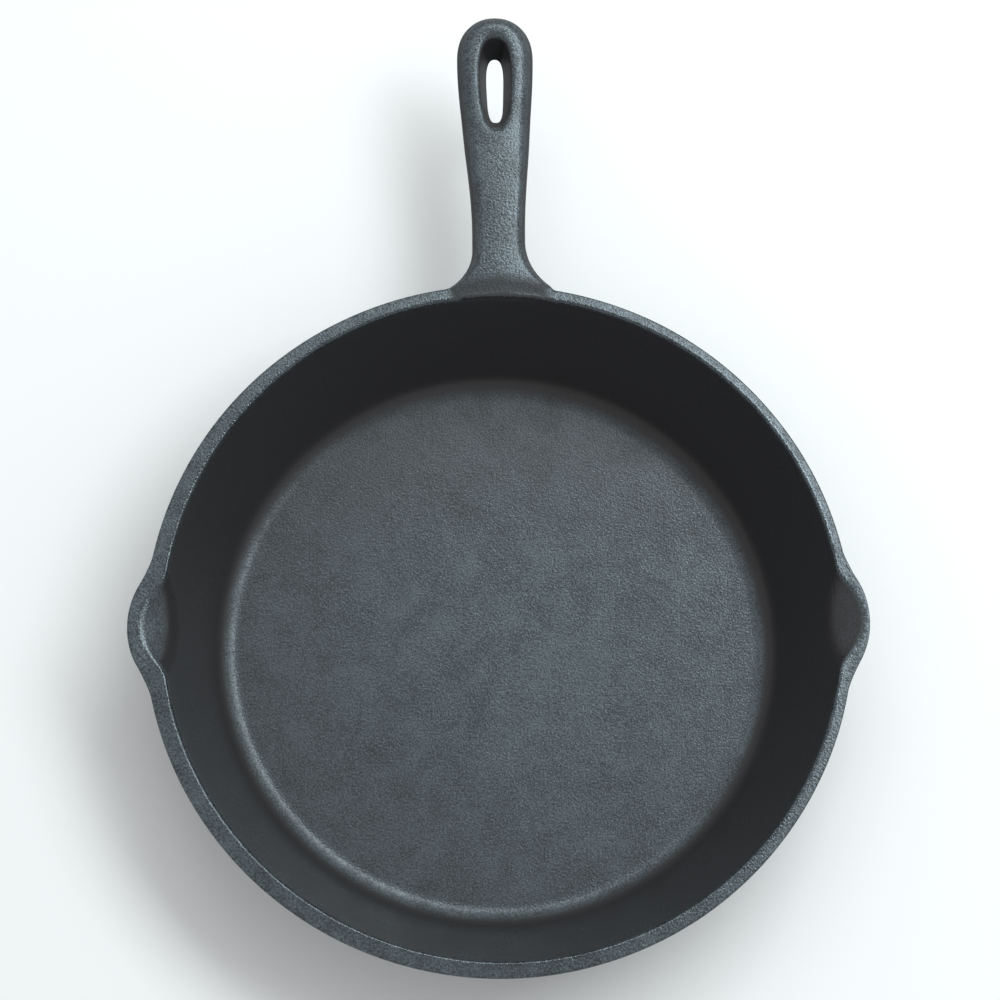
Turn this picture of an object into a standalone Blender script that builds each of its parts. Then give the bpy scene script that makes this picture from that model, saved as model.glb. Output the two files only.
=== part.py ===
"""Cast iron skillet with two pouring spouts and a looped handle.

Metres, +Z up. The origin is the middle of the flat underside, and the handle points along +Y.
The real pan is one casting. It is modelled as named regions that meet with a small gap.
"""

import math

import bmesh
import bpy

MM = 0.001

# Driving dimensions of the pan
RIM_RADIUS = 152.4 * MM
PAN_HEIGHT = 58.0 * MM
LIP_WIDTH = 5.8 * MM
FLOOR_RADIUS = 119.4 * MM
FLOOR_THICKNESS = 5.0 * MM
WALL_THICKNESS = 5.2 * MM

# Rounded edges and the fillet inside the pan
INNER_FILLET = 9.0 * MM
BASE_EDGE_RADIUS = 8.0 * MM
LIP_INNER_RADIUS = 1.6 * MM
LIP_OUTER_RADIUS = 2.2 * MM
FLARE_HEIGHT = 13.0 * MM

# Where the casting is divided into regions, and the gap between them
FLOOR_SPLIT_RADIUS = 112.0 * MM
GAP = 0.3 * MM
SPOUT_HALF_ANGLE = math.radians(10.5)

# Pouring spouts
SPOUT_REACH = 7.8 * MM
SPOUT_LIP_WIDTH = 4.4 * MM
SPOUT_BULGE_POWER = 2.5
SPOUT_HALF_WIDTH = 25.5 * MM
TROUGH_HALF_WIDTH = 20.0 * MM
TROUGH_DEPTH = 10.0 * MM

# Handle
HANDLE_TIP_Y = 278.9 * MM
HANDLE_WIDEST_Y = 259.1 * MM
HANDLE_NECK_Y = 177.0 * MM
HANDLE_END_HALF_WIDTH = 17.6 * MM
HANDLE_NECK_HALF_WIDTH = 11.75 * MM
HANDLE_END_POWER = 2.2
ROOT_FLARE_Y = 172.7 * MM
ROOT_FLARE_RADIUS = 24.0 * MM
ROOT_START_Y = 138.0 * MM
HANDLE_THICKNESS = 13.0 * MM
HANDLE_SECTION_POWER = 2.6
HANDLE_TOP_AT_NECK = 60.2 * MM
HANDLE_TOP_AT_TIP = 62.0 * MM
ROOT_DEPTH = 20.0 * MM
TIP_ROUNDING = 7.0 * MM
TIP_THINNING = 0.55
SMALLEST_HALF_WIDTH = 0.1 * MM

# Hanging hole, narrower below than above
HOLE_MIDDLE_Y = 246.8 * MM
HOLE_TOP_SIZE = (15.5 * MM, 45.5 * MM)
HOLE_UNDER_SIZE = (7.4 * MM, 28.4 * MM)
HOLE_EGG = 0.10
HOLE_ROUNDNESS = 0.8
HOLE_OVERSHOOT = 4.0 * MM
TRIM_OVERSHOOT = 10.0 * MM

# Colours of the seasoned iron (linear) and its finish
FLOOR_COLOUR = (0.085, 0.100, 0.110)
WALL_COLOUR = (0.060, 0.065, 0.070)
SPOUT_COLOUR = (0.070, 0.075, 0.080)
HANDLE_COLOUR = (0.100, 0.115, 0.120)
IRON_ROUGHNESS = 0.5
IRON_METALLIC = 0.35
SHARP_DEGREES = 35

# Smoothness
DEGREES_PER_STEP = 3.5
SPOUT_STEPS = 16
WALL_STEPS = 11
ARC_STEPS = 4
HANDLE_AROUND = 28
HANDLE_STATIONS = 40
HOLE_AROUND = 32


def arc(centre_r, centre_z, radius, from_degrees, to_degrees, steps=ARC_STEPS):
    """Points (r, z) of an arc in the pan's cross-section, ends included."""
    angles = [
        math.radians(from_degrees + (to_degrees - from_degrees) * i / steps)
        for i in range(steps + 1)
    ]
    return [
        (centre_r + radius * math.cos(a), centre_z + radius * math.sin(a)) for a in angles
    ]


def wall_run():
    """How far the inside wall leans out for each metre that it rises."""
    lip_inner_radius = RIM_RADIUS - LIP_WIDTH
    return (lip_inner_radius - FLOOR_RADIUS) / (PAN_HEIGHT - FLOOR_THICKNESS)


def inner_wall_radius(z):
    return FLOOR_RADIUS + (z - FLOOR_THICKNESS) * wall_run()


def outer_wall_radius(z):
    return inner_wall_radius(z) + WALL_THICKNESS


def inner_surface():
    """Cross-section from the flat floor up the fillet and the wall to the top of the lip."""
    lean = math.degrees(math.atan(wall_run()))
    turn = 90 - lean
    tangent = INNER_FILLET * math.tan(math.radians(turn) / 2)
    points = arc(
        FLOOR_RADIUS - tangent, FLOOR_THICKNESS + INNER_FILLET, INNER_FILLET, -90, -lean
    )
    lowest = points[-1][1]
    highest = PAN_HEIGHT - LIP_INNER_RADIUS
    for step in range(1, WALL_STEPS):
        closer_towards_lip = (step / WALL_STEPS) ** 0.6
        z = lowest + (highest - lowest) * closer_towards_lip
        points.append((inner_wall_radius(z), z))
    lip_centre = inner_wall_radius(highest) + LIP_INNER_RADIUS
    return points + arc(lip_centre, highest, LIP_INNER_RADIUS, 180, 90)


def outer_surface():
    """Cross-section from the top of the lip down the outside to the flat underside."""
    lip_z = PAN_HEIGHT - LIP_OUTER_RADIUS
    points = arc(RIM_RADIUS - LIP_OUTER_RADIUS, lip_z, LIP_OUTER_RADIUS, 90, -10)
    flare_z = lip_z - FLARE_HEIGHT
    points += [(outer_wall_radius(z), z) for z in (flare_z, flare_z / 2)]
    lean = math.degrees(math.atan(wall_run()))
    tangent = BASE_EDGE_RADIUS * math.tan(math.radians(90 - lean) / 2)
    return points + arc(
        outer_wall_radius(0) - tangent, BASE_EDGE_RADIUS, BASE_EDGE_RADIUS, -lean, -90
    )


def wall_section():
    """Closed cross-section of the wall, from the edge of the cooking floor round the lip."""
    start = FLOOR_SPLIT_RADIUS + GAP / 2
    return [(start, 0.0), (start, FLOOR_THICKNESS)] + inner_surface() + outer_surface()


def iron(name, colour, roughness):
    material = bpy.data.materials.new(name)
    material.use_nodes = True
    shader = material.node_tree.nodes["Principled BSDF"]
    shader.inputs["Base Color"].default_value = (*colour, 1.0)
    shader.inputs["Roughness"].default_value = roughness
    shader.inputs["Metallic"].default_value = IRON_METALLIC
    return material


def finished_object(name, mesh_builder, material):
    """Turn a bmesh into a named, outward-facing object with its own material."""
    bmesh.ops.recalc_face_normals(mesh_builder, faces=mesh_builder.faces)
    mesh = bpy.data.meshes.new(name)
    mesh_builder.to_mesh(mesh)
    mesh_builder.free()
    mesh.shade_smooth()
    mesh.set_sharp_from_angle(angle=math.radians(SHARP_DEGREES))
    mesh.materials.append(material)
    obj = bpy.data.objects.new(name, mesh)
    bpy.context.scene.collection.objects.link(obj)
    return obj


def spun_section(section, start_angle, sweep, steps):
    """Solid made by turning a closed cross-section about the Z axis."""
    builder = bmesh.new()
    corners = [
        builder.verts.new((r * math.cos(start_angle), r * math.sin(start_angle), z))
        for r, z in section
    ]
    face = builder.faces.new(corners)
    bmesh.ops.spin(
        builder,
        geom=[face, *face.edges, *face.verts],
        axis=(0, 0, 1),
        cent=(0, 0, 0),
        angle=sweep,
        steps=steps,
        use_merge=False,
    )
    return builder


def cooking_floor():
    """Round plate that food sits on."""
    builder = bmesh.new()
    rim = bmesh.ops.create_circle(
        builder,
        cap_ends=True,
        radius=FLOOR_SPLIT_RADIUS - GAP / 2,
        segments=round(360 / DEGREES_PER_STEP),
    )["verts"]
    plate = rim[0].link_faces[0]
    raised = bmesh.ops.extrude_face_region(builder, geom=[plate])["geom"]
    bmesh.ops.translate(
        builder,
        verts=[item for item in raised if isinstance(item, bmesh.types.BMVert)],
        vec=(0, 0, FLOOR_THICKNESS),
    )
    return finished_object(
        "cooking_floor", builder, iron("floor_iron", FLOOR_COLOUR, IRON_ROUGHNESS)
    )


def wall_between(name, from_angle, to_angle, material):
    """Stretch of plain wall and lip between the two spouts."""
    clearance = GAP / 2 / FLOOR_SPLIT_RADIUS
    start = from_angle + clearance
    sweep = to_angle - from_angle - 2 * clearance
    steps = round(math.degrees(sweep) / DEGREES_PER_STEP)
    return finished_object(name, spun_section(wall_section(), start, sweep, steps), material)


def spout_bulge(across, z):
    """How far the outside stands out: most in the middle of the spout and at its lip."""
    side = min(abs(across) / SPOUT_HALF_WIDTH, 1.0)
    height = min(z / (PAN_HEIGHT - LIP_OUTER_RADIUS), 1.0)
    return SPOUT_REACH * (1 - side**2) * height**SPOUT_BULGE_POWER


def trough_radius(across, z):
    """Radius of the trough's surface, which cuts into the wall where it is the larger."""
    side = min(abs(across) / TROUGH_HALF_WIDTH, 1.0)
    bottom_z = PAN_HEIGHT - TROUGH_DEPTH * (1 - side**2)
    lip_inside = RIM_RADIUS + SPOUT_REACH - SPOUT_LIP_WIDTH
    run = (lip_inside - inner_wall_radius(PAN_HEIGHT - TROUGH_DEPTH)) / TROUGH_DEPTH
    return inner_wall_radius(bottom_z) + (z - bottom_z) * run


def shape_spout(builder, middle_angle):
    """Push the spun wall out into a spout, and sink the trough into its inside."""
    section_points = len(wall_section())
    inside_points = section_points - len(outer_surface())
    for index, vert in enumerate(builder.verts):
        radius = math.hypot(vert.co.x, vert.co.y)
        angle = math.atan2(vert.co.y, vert.co.x) - middle_angle
        across = radius * math.sin(angle)
        if index % section_points < inside_points:
            wanted = max(radius, trough_radius(across, vert.co.z))
        else:
            wanted = radius + spout_bulge(across, vert.co.z)
        vert.co.x *= wanted / radius
        vert.co.y *= wanted / radius


def pour_spout(name, middle_angle, material):
    """Piece of wall and lip drawn out into a pouring spout."""
    clearance = GAP / 2 / FLOOR_SPLIT_RADIUS
    half = SPOUT_HALF_ANGLE - clearance
    builder = spun_section(wall_section(), middle_angle - half, 2 * half, SPOUT_STEPS)
    shape_spout(builder, middle_angle)
    return finished_object(name, builder, material)


def smooth_step(share):
    share = min(max(share, 0.0), 1.0)
    return share * share * (3 - 2 * share)


def handle_half_width(y):
    """Half the handle's width: round end, long taper to the neck, flare at the root."""
    if y > HANDLE_WIDEST_Y:
        share = (y - HANDLE_WIDEST_Y) / (HANDLE_TIP_Y - HANDLE_WIDEST_Y)
        power = HANDLE_END_POWER
        return HANDLE_END_HALF_WIDTH * max(1 - share**power, 0.0) ** (1 / power)
    share = (y - HANDLE_NECK_Y) / (HANDLE_WIDEST_Y - HANDLE_NECK_Y)
    grow = HANDLE_END_HALF_WIDTH - HANDLE_NECK_HALF_WIDTH
    half = HANDLE_NECK_HALF_WIDTH + grow * smooth_step(share)
    if y < ROOT_FLARE_Y:
        inward = min(ROOT_FLARE_Y - y, ROOT_FLARE_RADIUS)
        half += ROOT_FLARE_RADIUS - math.sqrt(ROOT_FLARE_RADIUS**2 - inward**2)
    return half


def handle_top(y):
    """Height of the handle's top: it settles onto the rim at the root and rises to the tip."""
    rise = (HANDLE_TOP_AT_TIP - HANDLE_TOP_AT_NECK) / (HANDLE_TIP_Y - HANDLE_NECK_Y)
    line = HANDLE_TOP_AT_NECK + rise * (y - HANDLE_NECK_Y)
    settle = smooth_step((HANDLE_NECK_Y - y) / (HANDLE_NECK_Y - RIM_RADIUS + LIP_WIDTH))
    return line + (PAN_HEIGHT - line) * settle


def handle_underside(y):
    """Height of the handle's underside, which drops to brace the wall at the root."""
    root = smooth_step((HANDLE_NECK_Y - y) / (HANDLE_NECK_Y - RIM_RADIUS))
    return handle_top(y) - HANDLE_THICKNESS - (ROOT_DEPTH - HANDLE_THICKNESS) * root


def tip_share(y):
    """Share of the handle's full thickness that is left as the tip rounds off."""
    past = max(y - (HANDLE_TIP_Y - TIP_ROUNDING), 0.0) / TIP_ROUNDING
    return 1 - TIP_THINNING * past**2


def handle_section(y):
    """Ring of points round the handle at one place along it."""
    half = max(handle_half_width(y), SMALLEST_HALF_WIDTH)
    half_depth = (handle_top(y) - handle_underside(y)) / 2 * tip_share(y)
    middle = (handle_top(y) + handle_underside(y)) / 2
    power = 2 / HANDLE_SECTION_POWER
    ring = []
    for step in range(HANDLE_AROUND):
        turn = 2 * math.pi * step / HANDLE_AROUND
        c, s = math.cos(turn), math.sin(turn)
        x = half * math.copysign(abs(c) ** power, c)
        z = middle + half_depth * math.copysign(abs(s) ** power, s)
        ring.append((x, y, z))
    return ring


def loft(rings):
    """Closed solid through a row of rings that all have the same number of points."""
    builder = bmesh.new()
    loops = [[builder.verts.new(point) for point in ring] for ring in rings]
    for near, far in zip(loops, loops[1:]):
        for i in range(len(near)):
            j = (i + 1) % len(near)
            builder.faces.new((near[i], near[j], far[j], far[i]))
    builder.faces.new(loops[0])
    builder.faces.new(reversed(loops[-1]))
    return builder


def cutter(name, builder):
    """Helper solid that a Boolean takes away, left out of the model itself."""
    obj = finished_object(name, builder, iron(name, HANDLE_COLOUR, IRON_ROUGHNESS))
    obj.hide_render = True
    obj.display_type = "WIRE"
    return obj


def pan_envelope():
    """Solid pan-shaped block, a gap larger than the pan, that trims the handle's root."""
    below_lip = [(r + GAP, z) for r, z in outer_surface() if z < PAN_HEIGHT - LIP_OUTER_RADIUS]
    top = PAN_HEIGHT + TRIM_OVERSHOOT
    section = [(0.0, top), (RIM_RADIUS + GAP, top), *below_lip, (0.0, -GAP)]
    builder = bmesh.new()
    corners = [builder.verts.new((r, 0.0, z)) for r, z in section]
    edges = [builder.edges.new(pair) for pair in zip(corners, corners[1:])]
    bmesh.ops.spin(
        builder,
        geom=[*corners, *edges],
        axis=(0, 0, 1),
        cent=(0, 0, 0),
        angle=2 * math.pi,
        steps=round(360 / DEGREES_PER_STEP),
        use_merge=True,
    )
    bmesh.ops.remove_doubles(builder, verts=builder.verts, dist=0.001 * MM)
    return builder


def hole_ring(size, z):
    """Egg-shaped ring of the hanging hole, blunter towards the handle's tip."""
    ring = []
    for step in range(HOLE_AROUND):
        turn = 2 * math.pi * step / HOLE_AROUND
        c, s = math.cos(turn), math.sin(turn)
        x = size[0] / 2 * math.copysign(abs(c) ** HOLE_ROUNDNESS, c) * (1 + HOLE_EGG * s)
        y = HOLE_MIDDLE_Y + size[1] / 2 * math.copysign(abs(s) ** HOLE_ROUNDNESS, s)
        ring.append((x, y, z))
    return ring


def hanging_hole():
    """Tapered plug the shape of the hanging hole, longer than the handle is thick."""
    top = handle_top(HOLE_MIDDLE_Y)
    under = top - HANDLE_THICKNESS
    grow = [(a - b) / HANDLE_THICKNESS for a, b in zip(HOLE_TOP_SIZE, HOLE_UNDER_SIZE)]
    above = [size + rate * HOLE_OVERSHOOT for size, rate in zip(HOLE_TOP_SIZE, grow)]
    return loft(
        [
            hole_ring(HOLE_UNDER_SIZE, under - HOLE_OVERSHOOT),
            hole_ring(HOLE_UNDER_SIZE, under),
            hole_ring(HOLE_TOP_SIZE, top),
            hole_ring(above, top + HOLE_OVERSHOOT),
        ]
    )


def handle():
    """Handle with its flared root and its hanging hole."""
    span = HANDLE_TIP_Y - ROOT_START_Y
    stations = [
        ROOT_START_Y + span * math.sin(math.pi / 2 * step / HANDLE_STATIONS)
        for step in range(HANDLE_STATIONS + 1)
    ]
    material = iron("handle_iron", HANDLE_COLOUR, IRON_ROUGHNESS)
    obj = finished_object("handle", loft([handle_section(y) for y in stations]), material)
    for tool in (cutter("pan_trim", pan_envelope()), cutter("hole_plug", hanging_hole())):
        cut = obj.modifiers.new(tool.name, "BOOLEAN")
        cut.operation = "DIFFERENCE"
        cut.solver = "EXACT"
        cut.object = tool
    return obj


def main():
    for obj in list(bpy.data.objects):
        bpy.data.objects.remove(obj)
    cooking_floor()
    sides = (("right", "handle_side", 0.0), ("left", "front", math.pi))
    for side, wall, angle in sides:
        spout_iron = iron(f"{side}_spout_iron", SPOUT_COLOUR, IRON_ROUGHNESS)
        pour_spout(f"{side}_pour_spout", angle, spout_iron)
        from_angle = angle + SPOUT_HALF_ANGLE
        to_angle = angle + math.pi - SPOUT_HALF_ANGLE
        wall_iron = iron(f"{wall}_wall_iron", WALL_COLOUR, IRON_ROUGHNESS)
        wall_between(f"{wall}_wall", from_angle, to_angle, wall_iron)
    handle()


main()
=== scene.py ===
"""Looks of the cast iron skillet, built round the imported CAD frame. Metres, +Z up.

The casting is described once, as a distance function with its fillets and rounded lips.
A grid of quads is laid over the pan and handle, settled onto that shape, and cut into the six
named regions, whose edges match point for point.
"""

import math

import bpy
import numpy as np
from mathutils import Matrix, Vector


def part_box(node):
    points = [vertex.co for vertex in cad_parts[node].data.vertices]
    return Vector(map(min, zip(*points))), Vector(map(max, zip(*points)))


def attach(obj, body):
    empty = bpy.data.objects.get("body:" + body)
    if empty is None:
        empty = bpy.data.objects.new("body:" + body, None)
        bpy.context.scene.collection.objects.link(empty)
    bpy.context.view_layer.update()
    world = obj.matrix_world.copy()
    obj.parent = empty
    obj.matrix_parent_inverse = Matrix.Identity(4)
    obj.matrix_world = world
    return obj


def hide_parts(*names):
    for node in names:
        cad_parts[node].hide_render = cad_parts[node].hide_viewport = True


MM = 0.001

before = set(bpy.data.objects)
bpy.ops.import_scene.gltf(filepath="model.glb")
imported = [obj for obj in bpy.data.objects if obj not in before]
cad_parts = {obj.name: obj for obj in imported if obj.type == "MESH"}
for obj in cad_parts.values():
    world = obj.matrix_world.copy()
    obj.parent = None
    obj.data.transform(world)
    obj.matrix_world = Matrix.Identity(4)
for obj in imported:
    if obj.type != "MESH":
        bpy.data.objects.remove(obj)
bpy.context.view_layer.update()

# Sizes that the frame gives
WALL_LOW, WALL_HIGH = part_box("front_wall")
RIM_RADIUS = -WALL_LOW.y
PAN_HEIGHT = WALL_HIGH.z
FLOOR_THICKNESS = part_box("cooking_floor")[1].z
FLOOR_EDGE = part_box("cooking_floor")[1].x
SPOUT_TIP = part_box("right_pour_spout")[1].x
HANDLE_TIP_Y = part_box("handle")[1].y
HANDLE_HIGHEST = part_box("handle")[1].z

# Bowl
LIP_WIDTH = 5.8 * MM
FLOOR_RADIUS = 121.6 * MM
WALL_THICKNESS = 5.2 * MM
LIP_FLARE = 1.5 * MM
FLARE_HEIGHT = 13.0 * MM
LIP_INNER_RADIUS = 0.8 * MM
LIP_OUTER_RADIUS = 1.2 * MM
LIP_FALL = 0.10
CORE_SHIFT = (1.5 * MM, 0.75 * MM)
INNER_FILLET = 6.0 * MM
BASE_EDGE = 4.5 * MM
WALL_RUN = (RIM_RADIUS - LIP_WIDTH - FLOOR_RADIUS) / (PAN_HEIGHT - FLOOR_THICKNESS)
WALL_SLANT = math.cos(math.atan(WALL_RUN))

# Pouring spouts: a leaning cone for the nose, and a round trough that steepens inwards
NOSE_RADIUS = 36.5 * MM
NOSE_NARROWING = 0.35
NOSE_LEAN = 0.88
NOSE_SLANT = 0.75
NOSE_CORNER = 3.0 * MM
TROUGH_TIP = 156.4 * MM
TROUGH_RUN = 14.0 * MM
TROUGH_DROP = 10.0 * MM
TROUGH_EVEN = 0.85
TROUGH_RADIUS = 35.0 * MM
TROUGH_SLANT = 0.82
TROUGH_CREASE = 2.0 * MM
TROUGH_REACH = (-0.6, 1.8)
SPOUT_HALF_ANGLE = 11.5
SPOUT_SKEW = 0.8 * MM

# Handle
WIDEST_Y = HANDLE_TIP_Y - 19.8 * MM
NECK_Y = 177.0 * MM
END_HALF_WIDTH = 17.6 * MM
NECK_HALF_WIDTH = 11.75 * MM
END_POWER = 2.2
FLARE_RADIUS = 24.0 * MM
LEFT_FLARE = 20.5 * MM
RIGHT_FLARE = 25.5 * MM
TONGUE_HALF_WIDTH = 20.6 * MM
TONGUE_TAPER = 0.55
ROOT_END_Y = 138.0 * MM
HANDLE_THICKNESS = 13.0 * MM
HANDLE_RISE = 1.8 * MM
ROOT_STEP = 0.7 * MM
ROOT_SLOPE_Y = 158.0 * MM
ROOT_DEPTH = 17.0 * MM
ROOT_FILLET = 9.0 * MM
ROOT_FILLET_AT_RIM = 1.0 * MM
FILLET_STARTS = 2.0 * MM
FILLET_GROWS_OVER = 10.0 * MM
ROOT_EDGE_RUN = 20.0 * MM
TONGUE_BLEND = 2.0 * MM
ROOT_EDGE = 3.8 * MM
HANDLE_CROWN = 1.2 * MM
END_CROWN = 2.7 * MM
HANDLE_EDGE = 4.9 * MM
END_EDGE = 6.4 * MM
HANDLE_LEAN = 1.1 * MM

# Hanging hole, tapered from top to underside
HOLE_MIDDLE_Y = 246.8 * MM
HOLE_TOP = (7.7 * MM, 22.7 * MM)
HOLE_UNDER = (3.0 * MM, 13.2 * MM)
HOLE_EGG = 0.10
HOLE_POWER = 2.3
HOLE_UNDER_POWER = 3.3
HOLE_SHIFT = 0.9 * MM
HOLE_LIP = 1.3 * MM
HOLE_DIP = 0.5 * MM
HOLE_DIP_WIDTH = 4.0 * MM

# Unevenness of the cast faces: how high it is, and where it fades out above the underside
WAVE_HEIGHT = 0.03 * MM
FLAT_UNDER = 0.5 * MM
WAVES_GROW_OVER = 3.0 * MM
WAVES = [(61, 23, 40, 0.3), (-37, 71, 55, 1.9), (113, -89, 70, 4.1), (160, 131, 90, 2.2)]

# Grid that the skin is made of
ANGLE_STEP = 0.8
SPOUT_ANGLE_STEP = 0.42
ROOT_HALF_ANGLE = 12.6
ROOT_COLUMNS = 40
STATION_GAP = 1.3 * MM
ROOT_STATIONS = 14
ROOT_LIFT = 3.0 * MM
FIRST_STATION_Y = 163.0 * MM
TIP_MARGIN = 2.2 * MM
TIP_BULGE = 1.5 * MM
RING_WIDTH = 0.9
RING_INSET = 0.6 * MM
GRID_INNER_FILLET = 9.0 * MM
GRID_BASE_EDGE = 8.0 * MM
LIP_BAND = 4.0 * MM
ROOT_BAND = 25.0 * MM
TROUGH_HALF_SPAN = 30.0 * MM
SPOUT_HALF_SPAN_INSIDE = 20.0 * MM
SPOUT_HALF_SPAN_OUTSIDE = 25.0 * MM
HOLE_CLEARANCE = 9.3 * MM
HOLE_SQUEEZE = 0.25

# Settling of the grid onto the casting
SLOPE_STEP = 0.02 * MM
LEAST_STEEPNESS = 0.05
LONGEST_TRAVEL = 2.5 * MM
SETTLE_ROUNDS = 8
RELAX_ROUNDS = 40
RELAX_SHARE = 0.5
FINAL_ROUNDS = 3
SPOUT_RELAX_ZONE = (130.0 * MM, 34.0 * MM, 36.0 * MM)


# Distances: negative inside the iron, positive outside


def smooth_step(share):
    share = np.clip(share, 0.0, 1.0)
    return share * share * (3 - 2 * share)


def join(a, b, fillet):
    """Union of two solids with a fillet in the corner between them."""
    u = np.maximum(fillet - a, 0)
    v = np.maximum(fillet - b, 0)
    return np.maximum(fillet, np.minimum(a, b)) - np.hypot(u, v)


def overlap(a, b, rounding):
    """What two solids share, with the edge between them rounded."""
    u = np.maximum(rounding + a, 0)
    v = np.maximum(rounding + b, 0)
    return np.minimum(-rounding, np.maximum(a, b)) + np.hypot(u, v)


def inner_wall_radius(z):
    return FLOOR_RADIUS + (z - FLOOR_THICKNESS) * WALL_RUN


def outer_wall_radius(z):
    rise = z - (PAN_HEIGHT - FLARE_HEIGHT)
    flare = LIP_FLARE * smooth_step(rise / (FLARE_HEIGHT - LIP_OUTER_RADIUS))
    return inner_wall_radius(z) + WALL_THICKNESS + flare


def spout_nose(x, y, z):
    y = y - SPOUT_SKEW * np.sign(x)
    drop = PAN_HEIGHT - LIP_OUTER_RADIUS - z
    radius = NOSE_RADIUS - NOSE_NARROWING * drop
    middle = SPOUT_TIP - NOSE_LEAN * drop - radius
    return (np.hypot(np.abs(x) - middle, y) - radius) * NOSE_SLANT


def bowl_outside(x, y, z):
    wall = (np.hypot(x, y) - outer_wall_radius(z)) * WALL_SLANT
    side = join(wall, spout_nose(x, y, z), NOSE_CORNER)
    outward = np.minimum(np.hypot(x, y), RIM_RADIUS) - (RIM_RADIUS - LIP_WIDTH)
    topped = overlap(side, z - PAN_HEIGHT + LIP_FALL * outward, LIP_OUTER_RADIUS)
    return overlap(topped, -z, BASE_EDGE)


def bowl_hollow(x, y, z):
    """What the sand core left; the core leaned a little when the pan was cast."""
    height = (z - FLOOR_THICKNESS) / (PAN_HEIGHT - FLOOR_THICKNESS)
    x = x - CORE_SHIFT[0] * height
    y = y - CORE_SHIFT[1] * height
    wall = (np.hypot(x, y) - inner_wall_radius(z)) * WALL_SLANT
    hollow = overlap(wall, FLOOR_THICKNESS - z, INNER_FILLET)
    share = np.clip((TROUGH_TIP - np.abs(x)) / TROUGH_RUN, *TROUGH_REACH)
    fall = TROUGH_DROP * (TROUGH_EVEN * share + (1 - TROUGH_EVEN) * share**2)
    above = (z - PAN_HEIGHT + fall) * TROUGH_SLANT
    trough = np.hypot(y - SPOUT_SKEW * np.sign(x), TROUGH_RADIUS - above) - TROUGH_RADIUS
    return join(hollow, trough, TROUGH_CREASE)


def oval(x, y, half_width, half_length, power):
    """Distance to an upright tube whose section is a rounded oval."""
    u, v = np.abs(x) / half_width + 1e-9, np.abs(y) / half_length + 1e-9
    norm = (u**power + v**power) ** (1 / power)
    steepness = np.hypot(
        (u / norm) ** (power - 1) / half_width, (v / norm) ** (power - 1) / half_length
    )
    return (norm - 1) / steepness


def soft_minimum(a, b, width):
    near = np.clip(1 - np.abs(a - b) / width, 0, 1)
    return np.minimum(a, b) - near**2 * width / 4


def handle_half_width(y, flare_radius=FLARE_RADIUS):
    """Slim at the neck, wide at the end, and flaring at the root until it meets the rim."""
    share = (y - NECK_Y) / (WIDEST_Y - NECK_Y)
    shank = NECK_HALF_WIDTH + (END_HALF_WIDTH - NECK_HALF_WIDTH) * smooth_step(share)
    across = NECK_HALF_WIDTH + flare_radius
    start = np.sqrt((RIM_RADIUS + flare_radius) ** 2 - across**2)
    inward = np.clip(start - y, 0, 0.999 * flare_radius)
    flare = flare_radius - np.sqrt(flare_radius**2 - inward**2)
    widest = TONGUE_HALF_WIDTH + TONGUE_TAPER * (y - RIM_RADIUS + LIP_WIDTH)
    return soft_minimum(shank + flare, widest, TONGUE_BLEND)


def beside(x, y):
    """Distance in plan to the handle, whose root flares more on the right than on the left."""
    step = 0.1 * MM
    flare = np.where(x < 0, LEFT_FLARE, RIGHT_FLARE)
    before, here, after = (handle_half_width(y + s, flare) for s in (-step, 0, step))
    return (np.abs(x) - here) / np.hypot(1, (after - before) / (2 * step))


def handle_top(y):
    at_neck = HANDLE_HIGHEST - HANDLE_RISE
    line = at_neck + HANDLE_RISE * (y - NECK_Y) / (HANDLE_TIP_Y - NECK_Y)
    settle = smooth_step((ROOT_SLOPE_Y - y) / (ROOT_SLOPE_Y - RIM_RADIUS + LIP_WIDTH))
    return line + (PAN_HEIGHT + ROOT_STEP - line) * settle


def handle_underside(y):
    root = smooth_step((NECK_Y - y) / (NECK_Y - RIM_RADIUS))
    return handle_top(y) - HANDLE_THICKNESS - (ROOT_DEPTH - HANDLE_THICKNESS) * root


def handle_body(x, y, z):
    """Tongue and loop, crowned above and below, and dished towards the hanging hole."""
    half_width = handle_half_width(y)
    end = oval(x, y - WIDEST_Y, END_HALF_WIDTH, HANDLE_TIP_Y - WIDEST_Y, END_POWER)
    side = np.where(y > WIDEST_Y, end, beside(x, y))
    side = np.maximum(side, ROOT_END_Y - y)
    top, under = handle_top(y), handle_underside(y)
    at_end = smooth_step((y - HOLE_MIDDLE_Y + 2 * HOLE_TOP[1]) / (1.5 * HOLE_TOP[1]))
    crown = (HANDLE_CROWN + (END_CROWN - HANDLE_CROWN) * at_end) * (x / half_width) ** 2
    to_hole = hanging_hole(x, y, top) / HOLE_DIP_WIDTH
    dish = HOLE_DIP * np.clip(1 - to_hole, 0, 1) ** 2
    slab = np.abs(z - (top + under) / 2) - (top - under) / 2 + crown + dish
    edge = ROOT_EDGE + (HANDLE_EDGE - ROOT_EDGE) * smooth_step((y - RIM_RADIUS) / ROOT_EDGE_RUN)
    edge = edge + (END_EDGE - HANDLE_EDGE) * at_end
    return overlap(side, slab, edge)


def hanging_hole(x, y, z):
    depth = np.minimum((handle_top(HOLE_MIDDLE_Y) - z) / HANDLE_THICKNESS, 1.1)
    along = y - HOLE_MIDDLE_Y + HOLE_SHIFT * depth
    half_width = HOLE_TOP[0] + (HOLE_UNDER[0] - HOLE_TOP[0]) * depth
    half_length = HOLE_TOP[1] + (HOLE_UNDER[1] - HOLE_TOP[1]) * depth
    egg = 1 + HOLE_EGG * np.clip(along / HOLE_TOP[1], -1, 1)
    power = HOLE_POWER + (HOLE_UNDER_POWER - HOLE_POWER) * np.clip(depth, 0, 1)
    return oval(x / egg, along, half_width, half_length, power)


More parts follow.
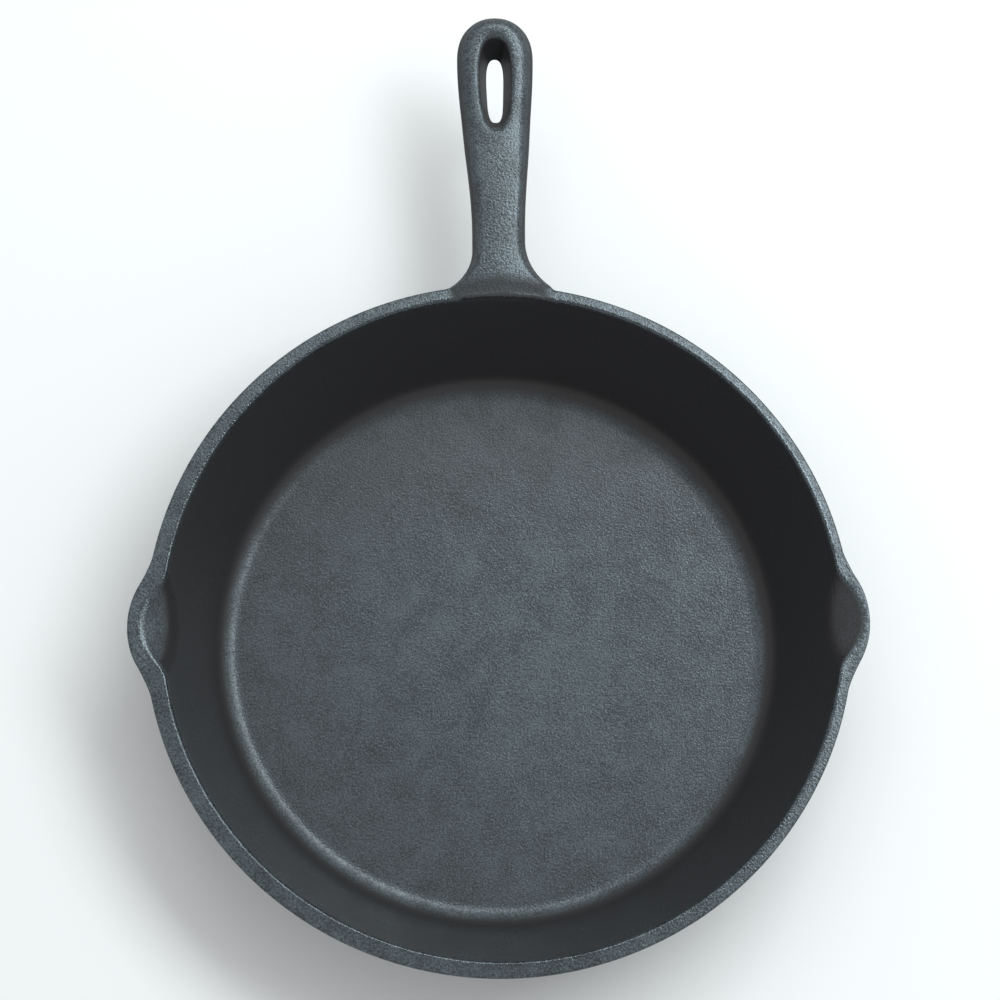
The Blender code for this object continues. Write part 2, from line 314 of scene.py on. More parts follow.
def waviness(x, y, z):
    """Slow unevenness of a sand-cast face, but none underneath, which is ground flat."""
    total = 0.0
    for wave, (fx, fy, fz, shift) in enumerate(WAVES):
        total = total + np.sin(fx * x + fy * y + fz * z + shift) / (wave + 1.5)
    return WAVE_HEIGHT * total * smooth_step((z - FLAT_UNDER) / WAVES_GROW_OVER)


def casting(points):
    """Distance from the surface of the whole casting at each point."""
    x, y, z = points.T
    below_rim = smooth_step((PAN_HEIGHT - FILLET_STARTS - z) / FILLET_GROWS_OVER)
    root_fillet = ROOT_FILLET_AT_RIM + (ROOT_FILLET - ROOT_FILLET_AT_RIM) * below_rim
    from_handle = x - HANDLE_LEAN * smooth_step((WIDEST_Y - y) / (WIDEST_Y - NECK_Y))
    solid = join(bowl_outside(x, y, z), handle_body(from_handle, y, z), root_fillet)
    solid = overlap(solid, -bowl_hollow(x, y, z), LIP_INNER_RADIUS)
    solid = overlap(solid, -hanging_hole(from_handle, y, z), HOLE_LIP)
    return solid + waviness(x, y, z)


def gradient(points):
    columns = []
    for axis in range(3):
        shift = np.zeros(3)
        shift[axis] = SLOPE_STEP
        columns.append((casting(points + shift) - casting(points - shift)) / (2 * SLOPE_STEP))
    return np.stack(columns, axis=1)


def settle(points, rounds):
    """Move points onto the casting's surface."""
    for _ in range(rounds):
        slope = gradient(points)
        steep = np.maximum((slope**2).sum(1), LEAST_STEEPNESS)
        travel = np.clip(casting(points) / steep, -LONGEST_TRAVEL, LONGEST_TRAVEL)
        points = points - slope * travel[:, None]
    return points


# The grid


def arc(centre_r, centre_z, radius, from_degrees, to_degrees, steps):
    angles = np.radians(np.linspace(from_degrees, to_degrees, steps + 1))
    return [(centre_r + radius * math.cos(a), centre_z + radius * math.sin(a)) for a in angles]


def straight(start, end, steps):
    """Points from start to end, leaving out both."""
    return [
        tuple(np.array(start) + (np.array(end) - np.array(start)) * i / steps)
        for i in range(1, steps)
    ]


def pan_profile():
    """Half cross-section (r, z) from the middle of the floor, over the lip, to the underside.

    Also gives the places of the floor's edges, the lip's crest and the stretch that the
    root covers."""
    top, under = FLOOR_THICKNESS, 0.0
    rings = np.linspace(0, FLOOR_EDGE, 22)[1:]
    floor_top = [(r, top) for r in rings]
    lean = math.degrees(math.atan(WALL_RUN))
    fillet = GRID_INNER_FILLET
    tangent = fillet * math.tan(math.radians(90 - lean) / 2)
    curve_in = arc(FLOOR_RADIUS - tangent, top + fillet, fillet, -90, -lean, 12)
    lip_low = PAN_HEIGHT - LIP_BAND
    lip_inside = (inner_wall_radius(lip_low), lip_low)
    wall_in = straight(curve_in[-1], lip_inside, 28)
    edge_z = PAN_HEIGHT - LIP_INNER_RADIUS
    up_lip = straight(lip_inside, (inner_wall_radius(edge_z), edge_z), 4)
    inner_turn = arc(
        inner_wall_radius(edge_z) + LIP_INNER_RADIUS, edge_z, LIP_INNER_RADIUS, 180, 90, 6
    )
    outer_turn = arc(
        RIM_RADIUS - LIP_OUTER_RADIUS, PAN_HEIGHT - LIP_OUTER_RADIUS, LIP_OUTER_RADIUS, 90, -20, 8
    )
    lip_flat = straight(inner_turn[-1], outer_turn[0], 4)
    root_low = PAN_HEIGHT - ROOT_BAND
    wall_out_high = straight(outer_turn[-1], (outer_wall_radius(root_low), root_low), 15)
    base = GRID_BASE_EDGE
    base_tangent = base * math.tan(math.radians(90 - lean) / 2)
    curve_out = arc(outer_wall_radius(0) - base_tangent, base, base, -lean, -90, 8)
    root_foot = (outer_wall_radius(root_low), root_low)
    wall_out_low = straight(root_foot, curve_out[0], 12)
    floor_under = [(r, under) for r in rings[::-1]]
    under_join = straight(curve_out[-1], floor_under[0], 3)
    top_join = straight(floor_top[-1], curve_in[0], 2)
    stretches = [
        floor_top, top_join, curve_in, wall_in, [lip_inside], up_lip, inner_turn, lip_flat,
        outer_turn, wall_out_high, [root_foot], wall_out_low, curve_out, under_join, floor_under,
    ]
    ends = np.cumsum([len(stretch) for stretch in stretches])
    marks = {
        "floor_edge": ends[0] - 1,
        "root_top": ends[3],
        "crest": ends[6] + 1,
        "root_foot": ends[9],
        "under_edge": ends[13],
    }
    return np.array(sum(stretches, [])), marks


def pan_angles():
    """Angles of the grid's columns in degrees, closer at the spouts and behind the root."""
    def fill(start, end, step):
        count = max(round((end - start) / step), 1)
        return list(np.linspace(start, end, count, endpoint=False))

    near, root = SPOUT_HALF_ANGLE, ROOT_HALF_ANGLE
    return np.array(
        fill(-near, near, SPOUT_ANGLE_STEP)
        + fill(near, 90 - root, ANGLE_STEP)
        + fill(90 - root, 90 + root, 2 * root / ROOT_COLUMNS)
        + fill(90 + root, 180 - near, ANGLE_STEP)
        + fill(180 - near, 180 + near, SPOUT_ANGLE_STEP)
        + fill(180 + near, 360 - near, ANGLE_STEP)
    )


class Skin:
    """Points and quads of the whole casting, each quad marked with its region."""

    def __init__(self):
        self.points = []
        self.faces = []
        self.regions = []

    def add_points(self, points):
        first = len(self.points)
        self.points.extend(map(tuple, points))
        return np.arange(first, first + len(points))

    def add_face(self, corners, region):
        self.faces.append([int(corner) for corner in corners])
        self.regions.append(region)


def region_of(angle):
    """Name of the wall region at an angle in degrees from +X."""
    angle = (angle + SPOUT_HALF_ANGLE) % 360
    if angle < 2 * SPOUT_HALF_ANGLE:
        return "right_pour_spout"
    if angle < 180:
        return "handle_side_wall"
    if angle < 180 + 2 * SPOUT_HALF_ANGLE:
        return "left_pour_spout"
    return "front_wall"


def drawn_out(r, z, angle, inside):
    """Radii of a ring of grid points, moved out to the spouts' skin where there is a spout."""
    across = r * np.sin(angle)
    near = np.abs(np.sin(angle)) < math.sin(math.radians(SPOUT_HALF_ANGLE))
    if inside and z < PAN_HEIGHT - LIP_INNER_RADIUS / 2:
        reach = np.minimum(np.abs(across), TROUGH_HALF_SPAN)
        dip = TROUGH_RADIUS - np.sqrt(TROUGH_RADIUS**2 - reach**2)
        fall = (PAN_HEIGHT - z + dip / TROUGH_SLANT) / TROUGH_DROP
        uneven = 1 - TROUGH_EVEN
        share = (np.sqrt(TROUGH_EVEN**2 + 4 * uneven * fall) - TROUGH_EVEN) / (2 * uneven)
        edge = (TROUGH_TIP - TROUGH_RUN * share) / np.abs(np.cos(angle))
        return np.where(near & (edge > inner_wall_radius(z)), np.maximum(r, edge), r)
    if inside:
        growth = TROUGH_TIP - inner_wall_radius(PAN_HEIGHT)
        share = np.clip(1 - (across / SPOUT_HALF_SPAN_INSIDE) ** 2, 0, 1)
    else:
        growth = (SPOUT_TIP - RIM_RADIUS) * (z / PAN_HEIGHT) ** 3
        share = np.clip(1 - (across / SPOUT_HALF_SPAN_OUTSIDE) ** 2, 0, 1)
    return r + np.where(near, growth * share, 0)


def lay_pan(skin):
    """Bowl and spouts, with a hole left in the grid where the handle joins."""
    profile, marks = pan_profile()
    angles = pan_angles()
    rows, columns = len(profile), len(angles)
    turn = np.radians(angles)
    grid = []
    for index, (r, z) in enumerate(profile):
        inside = index <= marks["crest"]
        radius = drawn_out(np.full(columns, r), z, turn, inside)
        ring = np.stack([radius * np.cos(turn), radius * np.sin(turn), np.full(columns, z)], 1)
        grid.append(skin.add_points(ring))
    grid = np.array(grid)
    middle_top, middle_under = skin.add_points([(0, 0, FLOOR_THICKNESS), (0, 0, 0)])
    root = [c for c in range(columns) if abs(angles[c] - 90) < ROOT_HALF_ANGLE - 1e-6]
    first, last = root[0] - 1, root[-1] + 1
    for c in range(columns):
        after = (c + 1) % columns
        skin.add_face((middle_top, grid[0, c], grid[0, after]), "cooking_floor")
        skin.add_face((grid[-1, c], middle_under, grid[-1, after]), "cooking_floor")
        middle_angle = angles[c] + 0.01
        for row in range(rows - 1):
            if first <= c < last and marks["root_top"] <= row < marks["root_foot"]:
                continue
            on_floor = row < marks["floor_edge"] or row >= marks["under_edge"]
            region = "cooking_floor" if on_floor else region_of(middle_angle)
            corners = (grid[row, c], grid[row + 1, c], grid[row + 1, after], grid[row, after])
            skin.add_face(corners, region)
    top, foot = marks["root_top"], marks["root_foot"]
    return grid[top : foot + 1, first : last + 1]


def ring_about_handle(y, across, deep):
    """Points round the handle at one station: over the top from right to left, then back."""
    half = float(handle_half_width(y)) if y < WIDEST_Y else END_HALF_WIDTH * (
        max(1 - ((y - WIDEST_Y) / (HANDLE_TIP_Y - WIDEST_Y)) ** END_POWER, 0)
    ) ** (1 / END_POWER)
    half *= RING_WIDTH
    high = float(handle_top(y)) - RING_INSET
    low = float(handle_underside(y)) + RING_INSET
    xs = np.linspace(half, -half, across + 1)
    zs = np.linspace(high, low, deep + 1)
    top = [(x, y, high) for x in xs]
    left = [(-half, y, z) for z in zs[1:]]
    under = [(x, y, low) for x in xs[::-1][1:]]
    right = [(half, y, z) for z in zs[::-1][1:-1]]
    return np.array(top + left + under + right)


def block_outline(block):
    """The grid points round the gap in the pan, in the same order as a handle ring."""
    return np.concatenate([block[0], block[1:, -1], block[-1, ::-1][1:], block[::-1, 0][1:-1]])


def hole_outline(around, half_width, half_length, power, middle_y, z):
    """Points of the hanging hole's edge at height z, one for each angle."""
    c, s = np.cos(around), np.sin(around)
    reach = (np.abs(c / half_width) ** power + np.abs(s / half_length) ** power) ** (-1 / power)
    return np.stack([reach * c, middle_y + reach * s, np.full(len(around), z)], 1)


def drawn_to_hole(point):
    """Underside grid point moved towards the hanging hole, which is smaller below."""
    x, y, z = point
    middle_y = HOLE_MIDDLE_Y - HOLE_SHIFT
    along = abs(y - HOLE_MIDDLE_Y)
    clear = HOLE_TOP[1] + HOLE_CLEARANCE
    near = smooth_step((clear - along) / (clear - HOLE_TOP[1]))
    half = float(handle_half_width(y))
    squeezed = half * np.interp(abs(x) / half, (0, 0.5, 1), (0, HOLE_SQUEEZE, 1)) * np.sign(x)
    closer = np.interp(along, (0, HOLE_TOP[1], clear, 1), (0, HOLE_UNDER[1], clear, 1))
    return (x + (squeezed - x) * near, middle_y + closer * np.sign(y - HOLE_MIDDLE_Y), z)


def lay_handle(skin, block):
    """Tube of quads from the gap in the pan out to the tip, with the hanging hole through it."""
    across, deep = block.shape[1] - 1, block.shape[0] - 1
    outline = block_outline(block)
    starts = np.array([skin.points[i] for i in outline])
    first_y, last_y = FIRST_STATION_Y, HANDLE_TIP_Y - TIP_MARGIN
    first_ring = ring_about_handle(first_y, across, deep)
    rings = [outline]
    for share in np.linspace(0, 1, ROOT_STATIONS + 1)[1:]:
        lift = ROOT_LIFT * share * (1 - share)
        points = starts + (first_ring - starts) * share
        points[: across + 1, 2] += lift
        rings.append(skin.add_points(points))
    stations = round((last_y - first_y) / STATION_GAP)
    for share in np.linspace(0, 1, stations + 1)[1:]:
        y = first_y + (last_y - first_y) * share
        rings.append(skin.add_points(ring_about_handle(y, across, deep)))
    rings = np.array(rings)
    around = rings.shape[1]

    ys = np.array([skin.points[i][1] for i in rings[:, across // 2]])
    near, far = (
        int(np.argmin(np.abs(ys - (HOLE_MIDDLE_Y + side * HOLE_TOP[1])))) for side in (-1, 1)
    )
    for i in rings[ROOT_STATIONS + 1 :, across + deep : 2 * across + deep + 1].ravel():
        skin.points[i] = drawn_to_hole(skin.points[i])
    right, left = across // 4, across - across // 4
    under = {c: 2 * across + deep - c for c in range(right, left + 1)}

    for k in range(len(rings) - 1):
        for i in range(around):
            j = (i + 1) % around
            over_hole = near <= k < far and right <= i < left
            under_hole = near <= k < far and under[left] <= i < under[right]
            if over_hole or under_hole:
                continue
            skin.add_face((rings[k, i], rings[k + 1, i], rings[k + 1, j], rings[k, j]), "handle")

    cap_tip(skin, rings[-1], across, deep)
    rim = (
        [(near, c) for c in range(right, left)]
        + [(k, left) for k in range(near, far)]
        + [(far, c) for c in range(left, right, -1)]
        + [(k, right) for k in range(far, near, -1)]
    )
    line_hole(skin, rings, rim, under)


def cap_tip(skin, ring, across, deep):
    """Close the last ring with a patch of quads."""
    top = ring[: across + 1]
    bottom = ring[across + deep : 2 * across + deep + 1][::-1]
    left = ring[across : across + deep + 1]
    right = np.concatenate([[ring[0]], ring[2 * across + deep :][::-1]])
    patch = np.zeros((deep + 1, across + 1), int)
    patch[0], patch[-1] = top, bottom
    for row in range(1, deep):
        share = row / deep
        upper = np.array([skin.points[i] for i in top[1:-1]])
        lower = np.array([skin.points[i] for i in bottom[1:-1]])
        inner = upper + (lower - upper) * share
        inner[:, 1] += TIP_BULGE
        patch[row] = [right[row], *skin.add_points(inner), left[row]]
    for row in range(deep):
        for c in range(across):
            corners = (patch[row, c], patch[row + 1, c], patch[row + 1, c + 1], patch[row, c + 1])
            skin.add_face(corners, "handle")


def line_hole(skin, rings, rim, under, layers=10):
    """Wall of the hanging hole, between the openings in the top and the underside."""
    upper = np.array([rings[k, c] for k, c in rim])
    lower = np.array([rings[k, under[c]] for k, c in rim])
    places = np.array([skin.points[i] for i in upper])
    angles = np.arctan2(places[:, 1] - HOLE_MIDDLE_Y, places[:, 0] * HOLE_TOP[1] / HOLE_TOP[0])
    around = np.arctan2(np.sin(angles) * HOLE_TOP[1], np.cos(angles) * HOLE_TOP[0])
    top_z = float(handle_top(HOLE_MIDDLE_Y))
    high = hole_outline(around, *HOLE_TOP, HOLE_POWER, HOLE_MIDDLE_Y, top_z)
    low = hole_outline(
        around, *HOLE_UNDER, HOLE_UNDER_POWER, HOLE_MIDDLE_Y - HOLE_SHIFT, top_z - HANDLE_THICKNESS
    )
    for index, i in enumerate(upper):
        skin.points[i] = tuple(high[index])
    for index, i in enumerate(lower):
        skin.points[i] = tuple(low[index])
    loops = [upper]
    for layer in range(1, layers):
        loops.append(skin.add_points(high + (low - high) * layer / layers))
    loops.append(lower)
    for a, b in zip(loops, loops[1:]):
        for i in range(len(a)):
            j = (i + 1) % len(a)
            skin.add_face((a[i], b[i], b[j], a[j]), "handle")


def relax(points, faces, movable, rounds):
    """Even out the spacing of some points while they stay on the surface."""
    pairs = set()
    for face in faces:
        for i, corner in enumerate(face):
            other = face[(i + 1) % len(face)]
            pairs.add((corner, other))
            pairs.add((other, corner))
    pairs = np.array([pair for pair in pairs if movable[pair[0]]])
    count = np.maximum(np.bincount(pairs[:, 0], minlength=len(points)), 1)
    chosen = np.flatnonzero(movable)
    for _ in range(rounds):
        sums = np.stack(
            [
                np.bincount(pairs[:, 0], points[pairs[:, 1], axis], minlength=len(points))
                for axis in range(3)
            ],
            axis=1,
        )
        target = sums[chosen] / count[chosen, None]
        moved = points[chosen] + RELAX_SHARE * (target - points[chosen])
        points[chosen] = settle(moved, 1)
    return points


def build_skin():
    skin = Skin()
    block = lay_pan(skin)
    pan_points = len(skin.points)
    lay_handle(skin, block)
    points = np.array(skin.points)
    points = settle(points, SETTLE_ROUNDS)
    used = np.zeros(len(points), bool)
    used[np.unique(np.concatenate([np.array(f) for f in skin.faces]))] = True
    movable = used.copy()
    movable[:pan_points] = False
    beyond, half_span, above = SPOUT_RELAX_ZONE
    spouts = (np.abs(points[:, 1]) < half_span) & (points[:, 2] > above)
    movable |= used & spouts & (np.abs(points[:, 0]) > beyond)
    loose = [face for face in skin.faces if movable[face].any()]
    points = relax(points, loose, movable, RELAX_ROUNDS)
    points = settle(points, FINAL_ROUNDS)
    normals = gradient(points)
    normals /= np.linalg.norm(normals, axis=1)[:, None]
    return skin, points, normals


skin, points, normals = build_skin()


def region_object(name, region):
    faces = [f for f, r in zip(skin.faces, skin.regions) if r == region]
    used = np.unique(np.concatenate([np.array(f) for f in faces]))
    place = {old: new for new, old in enumerate(used)}
    mesh = bpy.data.meshes.new(name)
    mesh.from_pydata(points[used].tolist(), [], [[place[c] for c in f] for f in faces])
    mesh.shade_smooth()
    mesh.normals_split_custom_set_from_vertices(normals[used].tolist())
    for attribute, measure in (("coarseness", coarseness), ("wear_and_painted_light", wear_and_painted_light), ("gloss_and_painted_shade", gloss_and_painted_shade)):
        data = mesh.attributes.new(attribute, "FLOAT", "POINT").data
        data.foreach_set("value", measure(points[used], normals[used]).astype(np.float32))
    obj = bpy.data.objects.new(name, mesh)
    bpy.context.scene.collection.objects.link(obj)
    return obj


def steps_in_mm(value, start, end):
    """0 at start, 1 at end, smooth between; all in millimetres."""
    return smooth_step((value / MM - start) / (end - start))


# How coarse the sand's grain is on each part of the casting, with the floor as 1
COARSE_WALL = 0.12
COARSE_TROUGH = 1.2
COARSE_OUTSIDE = 1.5
COARSE_LIP = 1.7
COARSE_HANDLE = 1.6
COARSE_HOLE = 0.5


def coarseness(places, _normals):
    """How coarse the sand's grain is at each point: smooth inside the wall, rough outside.

    The trough's zone goes by radius and height alone, so it also takes in the top of the
    flared inside wall, most on the right and at the back."""
    x, y, z = places.T
    radius = np.hypot(x, y)
    on_floor = steps_in_mm(radius, 123.5, 120.5) * steps_in_mm(z, 14, 10)
    on_lip = steps_in_mm(z, 55.2, 56.8)
    on_outside = steps_in_mm(radius - inner_wall_radius(z), 3, 5)
    in_trough = steps_in_mm(radius, 141, 145) * steps_in_mm(z, 44, 48)
    on_handle = steps_in_mm(y, 148, 158) * (radius > 150 * MM)
    in_hole = hole_depth(places)
    coarse = COARSE_WALL + (1 - COARSE_WALL) * on_floor
    for share, value in (
        (in_trough, COARSE_TROUGH),
        (on_outside, COARSE_OUTSIDE),
        (on_lip, COARSE_LIP),
        (on_handle, COARSE_HANDLE),
        (in_hole, COARSE_HOLE),
    ):
        coarse = coarse + (value - coarse) * share
    return coarse


def hole_depth(places):
    """1 on the wall of the hanging hole below its rounded edge, and 0 elsewhere."""
    x, y, z = places.T
    near = steps_in_mm(np.abs(hanging_hole(x - HANDLE_LEAN, y, z)), 1.4, 0.8)
    return near * steps_in_mm(handle_top(y) - z, 1.2, 2.6) * (y > NECK_Y)


def inner_edge(places):
    """1 along the bowl's top inner edge, which is rubbed bright, and 0 elsewhere."""
    x, y, z = places.T
    from_edge = np.hypot(bowl_hollow(x, y, z), z - PAN_HEIGHT)
    at_spout = steps_in_mm(np.abs(x), 140, 146) * steps_in_mm(np.abs(y), 24, 16)
    return steps_in_mm(from_edge, 1.3, 0.7) * (1 - 0.8 * at_spout)


def shade(places, normals):
    """Painted shade: 1 on the handle's steep sides and on the slope behind the rim, which turn
    away from the light, and 0 elsewhere.
    """
    x, y, z = places.T
    outside = steps_in_mm(np.hypot(x, y), 153.2, 155)
    side = (1 - smooth_step((normals[:, 2] - 0.48) / 0.5)) * steps_in_mm(y, 140, 160)
    slope = steps_in_mm(y + 0.15 * np.abs(x - HANDLE_LEAN), 159.5, 154)
    slope = slope * steps_in_mm(np.abs(x - HANDLE_LEAN), 23, 20)
    slope = slope * steps_in_mm(y, 144.5, 147) * steps_in_mm(z, 54, 56)
    return np.maximum(outside * side, 0.85 * slope)


def wear_and_painted_light(places, normals):
    """How bare the iron looks, dark with seasoning inside and paler on the lips and handle, with
    painted light and shade in it:
    the floor is painted lighter to the right and darker towards the back, and is also darker from
    the middle towards its edge;
    its pale band over the fillet reaches further at the front left, where the light falls; the
    left trough is painted lit and the right one painted shaded; and painted shade darkens the
    hanging hole, the handle's sides and the slope behind the rim.
    """
    x, y, z = places.T
    radius = np.hypot(x, y)
    # Painted highlight: the floor's pale band reaches further over the fillet at the front left,
    # where the light falls on it, and stops sooner at the back right.
    towards_back_right = (x + y) / np.maximum(np.hypot(1, 1) * radius, MM)
    worn_and_lit_edge = radius + 1.4 * MM * towards_back_right
    on_floor = steps_in_mm(worn_and_lit_edge, 121.8, 118) * steps_in_mm(z, 14, 10)
    # Painted light and shade: the floor is lighter to the right and darker towards the back, as
    # the lamps fall on it, and also darker from the middle towards its edge.
    painted_floor_light = 1.0 - 0.18 * steps_in_mm(radius, 30, 115) - 0.36 * steps_in_mm(y, 20, 110)
    painted_floor_light = painted_floor_light + 0.09 * np.clip(x / (100 * MM), -1, 1)
    bare = 0.03 + (painted_floor_light - 0.03) * on_floor
    outside = steps_in_mm(radius - inner_wall_radius(z), 2.5, 4)
    bare = bare + (1 - bare) * np.maximum(outside, steps_in_mm(z, 56, 57.5))
    # Painted light and shade: the left trough, which faces the lamps, is painted paler, and the
    # right trough, which faces away, is painted darker.
    painted_lit_trough = steps_in_mm(-x, 141, 144) * steps_in_mm(radius - inner_wall_radius(z), 0.2, 1.4)
    bare = np.maximum(bare, 0.85 * painted_lit_trough)
    painted_shaded_trough = steps_in_mm(np.abs(bowl_hollow(x, y, z)), 0.9, 0.4) * steps_in_mm(x, 142, 145)
    bare = bare * (1 - 0.75 * painted_shaded_trough * steps_in_mm(z, 57.4, 56.6))
    # Painted shade: no bare iron in the hanging hole, and less of it down the handle's sides and
    # on the slope behind the rim.
    return np.minimum(bare, 1) * (1 - hole_depth(places)) * (1 - 0.85 * shade(places, normals))


def gloss_and_painted_shade(places, normals):
    """Shininess: most along the rubbed inner edge, least in the hanging hole and down the sides,
    where its low values also turn the colour dark as painted shade.
    """
    x, y, z = places.T
    radius = np.hypot(x, y)
    corner = steps_in_mm(radius, 115.5, 119.5) * steps_in_mm(z, 16, 8)
    behind = steps_in_mm(y, 60, 110) * steps_in_mm(radius, 121, 118)
    # Painted shade: duller, and so darker in colour, in the hanging hole and where the handle is
    # painted shaded.
    dull = np.maximum(0.65 * shade(places, normals), 0.85 * hole_depth(places))
    dull = np.maximum(dull, np.maximum(0.35 * corner, 0.3 * behind))
    return 1 - dull + 0.8 * inner_edge(places)


class Wiring:
    """Short way to add and join shader nodes in one material."""

    def __init__(self, name):
        self.material = bpy.data.materials.new(name)
        self.material.use_nodes = True
        self.tree = self.material.node_tree
        self.shader = self.tree.nodes["Principled BSDF"]
        self.place = self.add("ShaderNodeTexCoord").outputs["Object"]

    def add(self, kind, **settings):
        node = self.tree.nodes.new(kind)
        for name, value in settings.items():
            setattr(node, name, value)
        return node

    def put(self, socket, value):
        if isinstance(value, bpy.types.NodeSocket):
            self.tree.links.new(value, socket)
        else:
            socket.default_value = value

    def noise(self, size, detail=2.0, roughness=0.5, distortion=0.0):
        """Grey noise whose blobs are about size metres across."""
        node = self.add("ShaderNodeTexNoise")
        self.put(node.inputs["Vector"], self.place)
        self.put(node.inputs["Scale"], 1 / size)
        self.put(node.inputs["Detail"], detail)
        self.put(node.inputs["Roughness"], roughness)
        self.put(node.inputs["Distortion"], distortion)
        return node.outputs["Fac"]

    def spread(self, value, low, high, to_low=0.0, to_high=1.0):
        node = self.add("ShaderNodeMapRange")
        names = ("Value", "From Min", "From Max", "To Min", "To Max")
        for name, setting in zip(names, (value, low, high, to_low, to_high)):
            self.put(node.inputs[name], setting)
        return node.outputs["Result"]

    def math(self, operation, a, b):
        node = self.add("ShaderNodeMath", operation=operation)
        self.put(node.inputs[0], a)
        self.put(node.inputs[1], b)
        return node.outputs[0]

    def blend(self, share, a, b):
        node = self.add("ShaderNodeMix", data_type="RGBA")
        self.put(node.inputs["Factor"], share)
        self.put(node.inputs["A"], a)
        self.put(node.inputs["B"], b)
        return node.outputs["Result"]


GRAIN_SIZE = 0.85 * MM
CLUMP_SIZE = 2.2 * MM
MOTTLE_SIZE = 14 * MM
GRAIN_DEPTH = 0.12 * MM
BARE_DARK = (0.033, 0.040, 0.045, 1)
BARE_PALE = (0.102, 0.125, 0.142, 1)
SEASONED = (0.042, 0.040, 0.042, 1)
# Painted shade colour, which the hanging hole and the handle's shaded sides and slope go over to
PAINTED_SHADE_COLOUR = (0.017, 0.017, 0.018, 1)


def cast_iron():
    """Seasoned sand-cast iron: dark and satin, with a fine grain that glints."""
    iron = Wiring("cast_iron")
    coarse = iron.add("ShaderNodeAttribute", attribute_name="coarseness").outputs["Fac"]
    # Share of bare iron, with painted light and shade in it
    worn_and_painted_light = iron.add("ShaderNodeAttribute", attribute_name="wear_and_painted_light").outputs["Fac"]
    shine_and_painted_shade = iron.add("ShaderNodeAttribute", attribute_name="gloss_and_painted_shade").outputs["Fac"]
    grain = iron.noise(GRAIN_SIZE, detail=1.0)
    clumps = iron.noise(CLUMP_SIZE)
    mottle = iron.noise(MOTTLE_SIZE, detail=4.0, roughness=0.65, distortion=0.4)

    speckle = iron.spread(iron.math("ADD", grain, iron.math("MULTIPLY", mottle, 0.6)), 0.6, 1.0)
    paint = iron.math("MULTIPLY", speckle, iron.spread(coarse, 0, 1, 0.35, 1))
    bare = iron.blend(paint, BARE_DARK, BARE_PALE)
    # Painted shade: low shininess turns the seasoning colour towards the painted shade colour; the
    # bare-iron share mixed in below also carries painted light and shade.
    seasoned_and_painted_shade = iron.blend(iron.spread(shine_and_painted_shade, 0.2, 0.6), PAINTED_SHADE_COLOUR, SEASONED)
    iron.put(iron.shader.inputs["Base Color"], iron.blend(worn_and_painted_light, seasoned_and_painted_shade, bare))
    iron.put(iron.shader.inputs["Specular IOR Level"], iron.math("MULTIPLY", shine_and_painted_shade, 0.5))

    satin = iron.spread(mottle, 0.3, 0.7, 0.31, 0.26)
    dulled = iron.math("SUBTRACT", satin, iron.spread(shine_and_painted_shade, 0, 2, -0.35, 0.35))
    iron.put(iron.shader.inputs["Roughness"], dulled)
    iron.put(iron.shader.inputs["Metallic"], iron.math("MULTIPLY", shine_and_painted_shade, 0.4))

    height = iron.math("ADD", grain, iron.math("MULTIPLY", clumps, 0.6))
    bump = iron.add("ShaderNodeBump")
    bump.inputs["Distance"].default_value = GRAIN_DEPTH
    bump.inputs["Strength"].default_value = 1.0
    iron.put(bump.inputs["Height"], iron.math("MULTIPLY", height, coarse))
    iron.put(iron.shader.inputs["Normal"], bump.outputs["Normal"])
    return iron.material


material = cast_iron()

for region in sorted(set(skin.regions)):
    obj = region_object(f"iron_{region}", region)
    obj.data.materials.append(material)
    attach(obj, "root")
    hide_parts(region)


# Floor, lights and camera

FLOOR_SIZE = 4.0
FLOOR_DROP = 0.1 * MM
PALE = (0.9, 0.9, 0.9, 1)

bpy.ops.mesh.primitive_plane_add(size=FLOOR_SIZE)
floor = bpy.context.object
floor.name = "studio_floor"
floor.location.z = -FLOOR_DROP
floor_material = bpy.data.materials.new("pale_floor")
floor_material.use_nodes = True
floor_shader = floor_material.node_tree.nodes["Principled BSDF"]
floor_shader.inputs["Base Color"].default_value = PALE
floor.data.materials.append(floor_material)


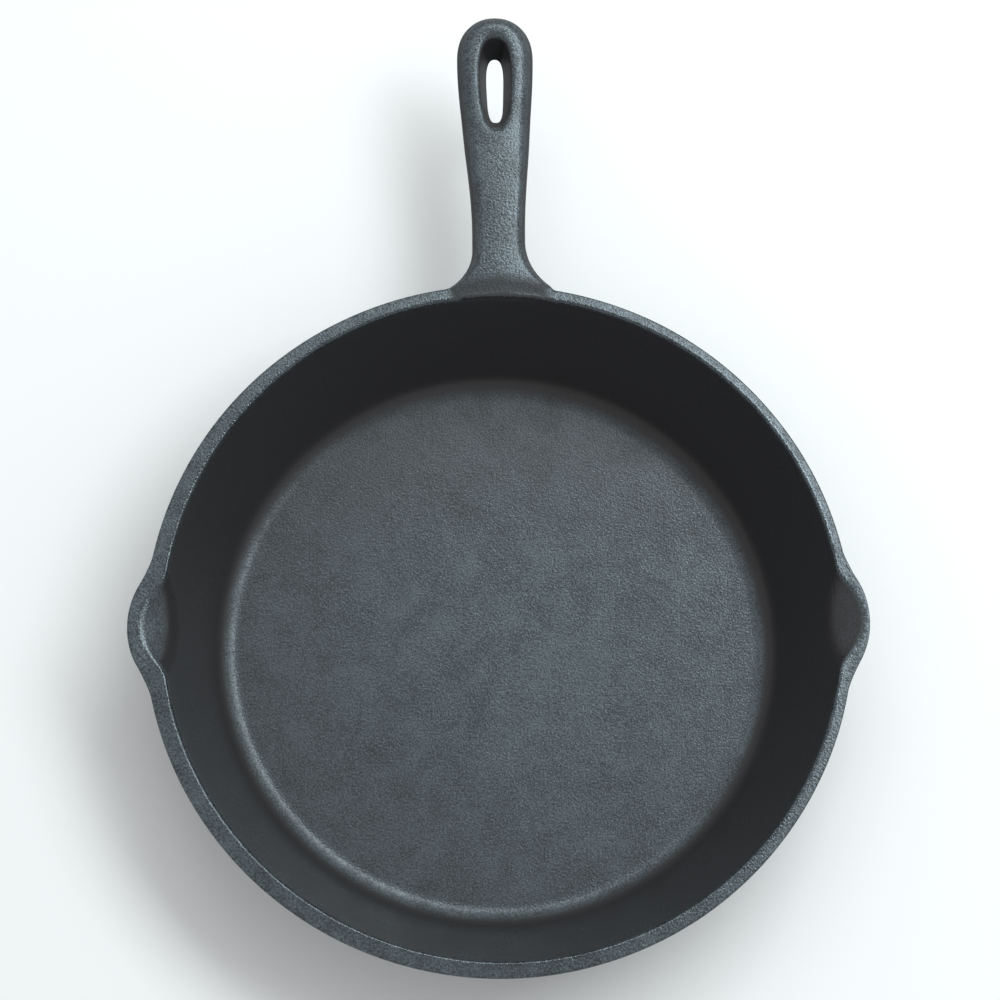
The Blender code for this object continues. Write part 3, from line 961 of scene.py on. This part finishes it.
def softbox(name, azimuth, elevation, size, power, colour):
    """A wide lamp facing the skillet, with its long side level."""
    azimuth, elevation = math.radians(azimuth), math.radians(elevation)
    towards = Vector((
        math.cos(azimuth) * math.cos(elevation),
        math.sin(azimuth) * math.cos(elevation),
        math.sin(elevation),
    ))
    data = bpy.data.lights.new(name, "AREA")
    data.shape = "RECTANGLE"
    data.size, data.size_y = size
    data.energy = power
    data.color = colour
    light = bpy.data.objects.new(name, data)
    light.location = LIT_PLACE + LIGHT_DISTANCE * towards
    light.rotation_euler = (-towards).to_track_quat("-Z", "Y").to_euler()
    bpy.context.scene.collection.objects.link(light)


LIT_PLACE = Vector((0, 0.05, 0))
LIGHT_DISTANCE = 2.2
COOL_WHITE = (0.90, 0.99, 1.0)
softbox("key", 40, 57, (2.0, 0.8), 31.5, COOL_WHITE)
softbox("fill", 100, 55, (1.0, 0.8), 4, COOL_WHITE)

WORLD_COLOUR = (0.98, 0.99, 1.0, 1)
WORLD_STRENGTH = 0.6
world = bpy.data.worlds.new("studio")
world.use_nodes = True
background = world.node_tree.nodes["Background"]
background.inputs["Color"].default_value = WORLD_COLOUR
background.inputs["Strength"].default_value = WORLD_STRENGTH
bpy.context.scene.world = world
bpy.context.scene.view_settings.view_transform = "Standard"

# The camera stands nearly overhead, a little towards the front left
CAMERA_PLACE = Vector((-0.03538, -0.31702, 1.50228))
CAMERA_AIM = Vector((0.0008, 0.05659, 0.05))
CAMERA_ROLL = -0.00843
FOCAL_IN_WIDTHS = 3.43864
SENSOR_WIDTH = 36

camera_data = bpy.data.cameras.new("camera")
camera_data.sensor_width = SENSOR_WIDTH
camera_data.lens = FOCAL_IN_WIDTHS * camera_data.sensor_width
camera = bpy.data.objects.new("camera", camera_data)
view = (CAMERA_AIM - CAMERA_PLACE).normalized()
right = view.cross(Vector((0, 1, 0))).normalized()
up = right.cross(view)
right, up = (
    math.cos(CAMERA_ROLL) * right + math.sin(CAMERA_ROLL) * up,
    -math.sin(CAMERA_ROLL) * right + math.cos(CAMERA_ROLL) * up,
)
camera.matrix_world = Matrix((right, up, -view)).transposed().to_4x4()
camera.location = CAMERA_PLACE
bpy.context.scene.collection.objects.link(camera)
bpy.context.scene.camera = camera
